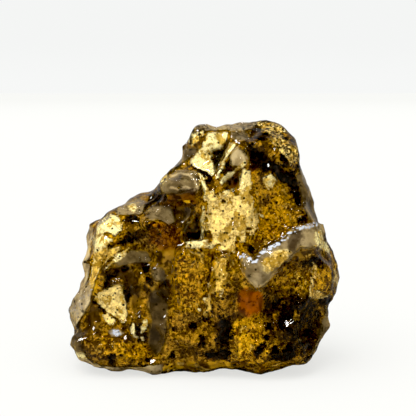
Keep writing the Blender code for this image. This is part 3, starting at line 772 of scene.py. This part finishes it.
def give_tints(sheet, at, front, points, seed):
    """Marks on a sheet where the resin is smoky, plain, cracked, red, pale or low, where bark darkens it, and
    where painted shade lies.
    """
    rag = rough_noise(points, 1.0 * MM, seed + 70) * 0.35
    for name, table in (("smoke", SMOKE), ("plain", {n: outlines[n] for n in PLAIN})):
        give_share(sheet, name, front * ease(within_any(at, table) + rag * 0.6, -0.1, 0.2))
    crack = np.min([from_line(at, line) for line in CRACKS.values()], axis=0)
    give_share(sheet, "crack", front * (1 - ease(crack + rag * 0.3, 0.08, 0.22)))
    red = [(1.0 if n == "nodule" else 0.75) * ease(within(at, line) + rag * 0.8, -0.2, 0.3)
           for n, line in RED.items()]
    give_share(sheet, "red", front * np.max(red, axis=0))
    pale = [SMOKE_LIGHT[n] * ease(within(at, line) + rag * 0.6, -0.1, 0.2) for n, line in SMOKE.items()]
    wisps = ease(WISP - np.min([from_line(at, line) for line in WISPS.values()], axis=0), -0.05, 0.1)
    give_share(sheet, "pale", np.maximum(np.max(pale, axis=0), wisps))
    # The shade mark is darker where bark lies, and elsewhere it is painted shade over dim parts, hollows and
    # undersides.
    dark = [DARKNESS.get(name, 1.0 if name in BLACK else 0.5) * ease(within(at, line) + rag, -0.15, 0.25)
            for name, line in {**BLACK, **SHADE}.items()]
    dark = np.max(dark, axis=0)
    give_share(sheet, "shade", front * dark)
    give_share(sheet, "low", 1 - ease(within_any(at, {**HONEY, **GOLD, **RED}) + rag, -0.4, 0.2))


near, points, at, front = film("near_cracks", depth=0.25, grain=FINE, crumple=0.25)
lean = tilt(points, normals_of(near))
rag = rough_noise(points, 1.3 * MM, 1)
whole = within_any(at, {n: line for n, line in GOLD.items() if n not in SPECKLED and n not in CRUMBLED})
crumbled = within_any(at, {n: GOLD[n] for n in CRUMBLED})
whole = np.maximum(whole, crumbled - 0.2 + rough_noise(points, 0.9 * MM, 5) * 1.8)
specks = within_any(at, {n: GOLD[n] for n in SPECKLED}) + rag * 0.4
placed = np.maximum(whole + 0.1 + rag * 0.2, specks)
veils = within_any(at, SMOKE) + rag * 0.15
shaded = within_any(at, BLACK)
flecks = rough_noise(points, 2.2 * MM, 2) * 2.2 - 1.1 + np.clip(within_any(at, HONEY), -0.3, 0.3)
small_flecks = rough_noise(points, 0.8 * MM, 4) * 2.0 - 0.60 + np.clip(within_any(at, HONEY), -0.5, 0.2)
flecks = np.maximum(flecks, small_flecks)
elsewhere = rough_noise(points, 6 * MM, 3) * 1.6 - 0.5 + rag * 0.6
keep_out = np.maximum(within_any(at, BLACK), within_any(at, SMOKE) * 0.7)
wanted = np.maximum(placed, flecks - np.clip(keep_out + 0.5, 0, 9) * 3)
wanted = np.maximum(wanted, np.minimum(veils, -shaded))
wisps = WISP - np.min([from_line(at, line) for line in WISPS.values()], axis=0) + 0.1 * rag
wanted = np.maximum(wanted, wisps)
# Along edge-on parts a pale film is kept: painted light that stands for light coming through the thin edges.
painted_edge_light = 0.24 - np.abs(lean + 0.1) * 1.2 + rag * 0.25
wanted = np.where(front > SHOWN, wanted, elsewhere)
wanted = np.maximum(wanted, np.minimum(painted_edge_light, -shaded))
give_tints(near, at, front * (ease(placed, -0.1, 0.1) < 0.5), points, 0)
edge = (placed > 0) * (1 - ease(placed, 0.02, 0.2))
give_share(near, "rim", 0.5 * edge * front)
plain = ease(within_any(at, {n: outlines[n] for n in PLAIN}), -0.1, 0.2)
give_share(near, "plain", front * np.where(whole > 0, 0.5 * ease(whole, 0.0, 0.2), plain))
# The edge film is painted milky and pale, and paler on the left, where the light comes from.
for name, share in (("smoke", 1.0), ("pale", 0.1 + 0.4 * ease(-at[:, 0], 10, 16))):
    layer = near.data.attributes[name]
    shares = np.empty(len(points), np.float32)
    layer.data.foreach_get("value", shares)
    layer.data.foreach_set("value", np.maximum(shares, share * ease(painted_edge_light, -0.05, 0.1)).astype(np.float32))
deeper = [share * ease(within(at, GOLD[n]) + rag * 0.3, -0.1, 0.2) for n, share in YELLOW.items()]
give_share(near, "low", np.maximum(np.max(deeper, axis=0), 0.9 * (placed < 0)))
give_share(near, "specked", ease(specks - whole, 0.0, 0.2))
cut_film(near, wanted > 0)
near.data.materials.append(film_finish(
    "pale_film", dark=(0.58, 0.39, 0.07), light=(0.97, 0.88, 0.48),
    low_dark=(0.24, 0.13, 0.004), low_light=(0.74, 0.46, 0.03), metal=0.4, rough=0.35))

middle, points, at, front = film("middle_cracks", depth=0.7, grain=0.34 * MM, crumple=0.7)
rag = rough_noise(points, 1.6 * MM, 6)
wanted = 0.5 + rough_noise(points, 4 * MM, 7) * 1.2 + rag * 0.5
wanted = np.maximum(wanted, (within_any(at, HONEY) + 0.8 + rag * 0.4) * (front > SHOWN))
wanted = np.maximum(wanted, (within_any(at, SMOKE) + 0.5 + rag * 0.2) * (front > SHOWN))
give_tints(middle, at, front, points, 5)
cut_film(middle, wanted > 0)
middle.data.materials.append(film_finish(
    "honey_film", dark=(0.13, 0.058, 0.001), light=(0.60, 0.35, 0.014),
    low_dark=(0.09, 0.045, 0.004), low_light=(0.42, 0.24, 0.018), metal=0.5, rough=0.32))

deep, points, at, front = film("deep_cracks", depth=4.0, grain=0.5 * MM, crumple=1.4)
give_tints(deep, at, front, points, 9)
cut_film(deep, rough_noise(points, 3 * MM, 11) > -0.75)
deep.data.materials.append(film_finish(
    "brown_film", dark=(0.14, 0.05, 0.002), light=(0.50, 0.24, 0.01),
    low_dark=(0.05, 0.025, 0.003), low_light=(0.35, 0.18, 0.01), metal=0.5, rough=0.35))

# ---------------------------------------------------------------------------------------------------------
# Bark flakes.  Thin scales of the tree's bark, black with age, that lie just under the skin.  The largest
# runs down from the summit on the right, and another lies at the foot of the front.

BARK_BLACK = (0.002, 0.0016, 0.0014)
BARK_BROWN = (0.03, 0.014, 0.004)

flakes, points, at, front = film("bark_flakes", depth=0.3, grain=FINE, crumple=0.2)
rag = rough_noise(points, 0.7 * MM, 15)
gaps = ease(within(at, BLACK["crust"]), -0.2, 0.5)
wanted = within_any(at, BLACK) + rag * 0.45 - gaps * (2.2 + rough_noise(points, 1.1 * MM, 16) * 4.0)
elsewhere = rough_noise(points, 5 * MM, 17) * 1.5 - 0.75 + rag * 0.5
elsewhere[(tilt(points, normals_of(flakes)) > -0.45) | (points[:, 2] < 4 * MM)] = -9
cut_film(flakes, np.where(front > SHOWN, wanted, elsewhere) > 0)
finish = Finish("old_bark")
bark_colour = finish.mix(finish.noise(0.6 * MM).between(0.5, 0.62), BARK_BLACK, BARK_BROWN)
knobs = finish.out("Bump", 0, None, Strength=1.0, Distance=0.3 * MM, Height=finish.noise(0.5 * MM))
old_bark = finish.done(finish.out("BsdfPrincipled", 0, None, Base_Color=bark_colour, Roughness=0.5,
                                  Specular_IOR_Level=0.05, Normal=knobs))
flakes.data.materials.append(old_bark)

# ---------------------------------------------------------------------------------------------------------
# Crumbs.  Grains of bark and soil stuck to the resin while it ran, and each next run covered them.  They lie
# thickest round the bark flakes and at the lower right, and thin out everywhere else.

GRITTY = ("right_shade",)
CRUMB_PIECES = 2
CRUMBS_IN_PIECE = 30000
# Half the crumbs crowd where bark lies.  Depths and sizes of those and of the loose ones, in millimetres.
CROWDED_SHARE = 0.5
CROWDED_DEPTHS = (0.2, 1.7)
CROWDED_SIZES = (0.06, 0.16)
LOOSE_DEPTH = 0.2
LOOSE_SPREAD = 2.0
LOOSE_SIZES = (0.04, 0.13)
CLEAR_OF_FLOOR = 2 * MM


def crumb_shape():
    """One crumb: a pyramid on four sides."""
    bpy.ops.object.select_all(action="DESELECT")
    bpy.ops.mesh.primitive_cone_add(vertices=4, radius1=1.0, depth=1.6)
    crumb = bpy.context.object
    modify(crumb, "TRIANGULATE")
    corners = points_of(crumb)
    faces = np.array([face.vertices[:] for face in crumb.data.polygons])
    bpy.data.objects.remove(crumb)
    return corners, faces


def scatter(name, shape, places, sizes, dice):
    """Many turned and squashed copies of one shape, joined as one mesh."""
    corners, faces = shape
    everywhere = []
    for place, size in zip(places, sizes):
        axis = Vector([dice.gauss(0, 1) for _ in range(3)])
        turn = np.array(Matrix.Rotation(dice.uniform(0, math.tau), 3, axis))
        squash = np.array([dice.uniform(0.6, 1.4), dice.uniform(0.5, 1.0), dice.uniform(0.3, 0.9)])
        everywhere.append((corners * squash * size) @ turn.T + place)
    mesh = bpy.data.meshes.new(name)
    steps = (np.arange(len(places)) * len(corners))[:, None, None]
    mesh.from_pydata(np.concatenate(everywhere).tolist(), [], (faces[None] + steps).reshape(-1, 3).tolist())
    thing = bpy.data.objects.new(name, mesh)
    bpy.context.scene.collection.objects.link(thing)
    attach(thing, "root")
    return thing


dice = random.Random(11)
tree = BVHTree.FromObject(resin, bpy.context.evaluated_depsgraph_get())
points, normals = points_of(skin), normals_of(skin)
at, front = seen(points), facing(points, normals)
rag = rough_noise(points, 1.2 * MM, 21)
thick = np.maximum(within_any(at, BLACK), within_any(at, {n: SHADE[n] for n in GRITTY}) - 0.3) + rag * 0.8
thick = np.where(front > SHOWN, thick, rough_noise(points, 6 * MM, 22) * 1.6 - 0.6 + rag * 0.5)
thick[np.abs(tilt(points, normals)) < 0.15] = -1
clear_of = within_any(at, {**SMOKE, **GOLD, **{name: outlines[name] for name in PLAIN}})
clear_of = np.where(front > SHOWN, clear_of, -1)
thick = np.nonzero((thick > 0) & (clear_of < 0.2))[0]
thin = np.nonzero(clear_of < 0.3)[0]
shape = crumb_shape()
for piece in range(CRUMB_PIECES):
    places, sizes = [], []
    while len(places) < CRUMBS_IN_PIECE:
        if dice.random() < CROWDED_SHARE:
            v, depth = thick[dice.randrange(len(thick))], dice.uniform(*CROWDED_DEPTHS)
            size = dice.uniform(*CROWDED_SIZES) + 0.16 * dice.random() ** 4
        else:
            v, depth = thin[dice.randrange(len(thin))], LOOSE_DEPTH + abs(dice.gauss(0, LOOSE_SPREAD))
            size = dice.uniform(*LOOSE_SIZES)
        place = points[v] - normals[v] * depth * MM + np.array([dice.gauss(0, 0.12) for _ in range(3)]) * MM
        hit, normal, _, far = tree.find_nearest(Vector(place))
        if (Vector(place) - hit).dot(normal) < 0 and far > size * 1.5 * MM and place[2] > CLEAR_OF_FLOOR:
            places.append(place)
            sizes.append(size * MM)
    crumbs = scatter(f"bark_crumbs_{piece + 1}", shape, places, sizes, dice)
    crumbs.data.materials.append(old_bark)
bpy.data.objects.remove(skin)

# ---------------------------------------------------------------------------------------------------------
# The stage: a pale floor and soft light from above and the left.  Seen by the camera, the floor carries a
# painted glow that keeps its shadow faint, and it is painted darker far off.  Mirror reflections see a studio
# and a floor of their own, darker and with a small softbox and bulbs, so the skin sparkles and isn't hazed
# over.

FLOOR_SIZE = 16.0
NEAR_PAPER = (0.53, 0.53, 0.525)
FAR_PAPER = (0.43, 0.435, 0.43)
LIT_PAPER = (0.9, 0.9, 0.88)
DULL_PAPER = (0.05, 0.05, 0.05, 1.0)
BACKDROP_LIGHT = 0.30
SOFTBOX_LIGHT = 22.0
BULB_LIGHT = 20.0

bpy.ops.mesh.primitive_plane_add(size=FLOOR_SIZE)
floor = bpy.context.object
floor.name = "floor"
finish = Finish("pale_floor")
place = finish.out("TexCoord", "Object")
# Seen by the camera, the paper is painted darker with distance.
painted_falloff = finish.out("VectorMath", "Value", {"operation": "LENGTH"}, Vector=place).between(0.7, 4.0)
paper = finish.mix(painted_falloff, NEAR_PAPER, FAR_PAPER)
paper = finish.mix(finish.out("LightPath", "Is Camera Ray"), LIT_PAPER, paper)
pale = finish.out("BsdfDiffuse", 0, None, Color=paper)
# A warm glow that only the camera sees is painted over the floor, so the floor's shadow stays faint.
glow = finish.out("Emission", 0, None, Color=(1.0, 1.0, 0.97, 1.0), Strength=0.90)
painted_glow_mix = finish.blend(0.76, pale, glow)
pale = finish.blend(finish.out("LightPath", "Is Camera Ray"), pale, painted_glow_mix)
dull = finish.out("BsdfDiffuse", 0, None, Color=DULL_PAPER)
mirrored = finish.out("LightPath", "Is Glossy Ray") * (1 - finish.out("LightPath", "Is Transmission Ray"))
floor.data.materials.append(finish.done(finish.blend(mirrored, pale, dull)))


def sun(name, strength, spread, towards, colour):
    """A far lamp that mirror reflections don't see."""
    lamp = bpy.data.lights.new(name, "SUN")
    lamp.energy = strength
    lamp.angle = math.radians(spread)
    lamp.color = colour
    thing = bpy.data.objects.new(name, lamp)
    bpy.context.scene.collection.objects.link(thing)
    thing.rotation_euler = Vector(towards).to_track_quat("-Z", "Y").to_euler()
    thing.visible_glossy = False


sun("key", 2.2, 45, (0.35, 0.45, -1.0), (1.0, 0.99, 0.96))

world = bpy.data.worlds.new("studio")
bpy.context.scene.world = world
world.use_nodes = True
sky = world.node_tree
sky.nodes.clear()
direction = sky.nodes.new("ShaderNodeTexCoord")
parts = sky.nodes.new("ShaderNodeSeparateXYZ")
sky.links.new(direction.outputs["Generated"], parts.inputs[0])
across, along, up = (Value(parts.outputs[name]) for name in ("X", "Y", "Z"))
rays = sky.nodes.new("ShaderNodeLightPath")
seen_rays = Value(rays.outputs["Is Camera Ray"])
mirrored = Value(rays.outputs["Is Glossy Ray"]) * (1 - Value(rays.outputs["Is Transmission Ray"]))
softbox = (up * 0.85 - along * 0.15 - across * 0.505).between(0.993, 0.996)
backdrop = along.between(0.3, 0.7)
bulbs = sky.nodes.new("ShaderNodeTexVoronoi")
bulbs.inputs["Scale"].default_value = 5.0
sky.links.new(direction.outputs["Generated"], bulbs.inputs["Vector"])
bulbs = (1 - Value(bulbs.outputs["Distance"])).between(0.93, 0.95)
broad = 0.5 + (up - along * 0.5 - across * 0.3).between(0.0, 1.1) * 2.3
sharp = 0.012 + backdrop * BACKDROP_LIGHT + softbox * SOFTBOX_LIGHT + bulbs * BULB_LIGHT
lit = broad * (1 - mirrored) + sharp * mirrored
strength = lit * (1 - seen_rays) + seen_rays * (0.935 - up.between(0.0, 0.05) * 0.02)
background = sky.nodes.new("ShaderNodeBackground")
background.inputs["Color"].default_value = (0.99, 1.0, 0.99, 1.0)
plug(background.inputs["Strength"], strength)
output = sky.nodes.new("ShaderNodeOutputWorld")
sky.links.new(background.outputs[0], output.inputs["Surface"])
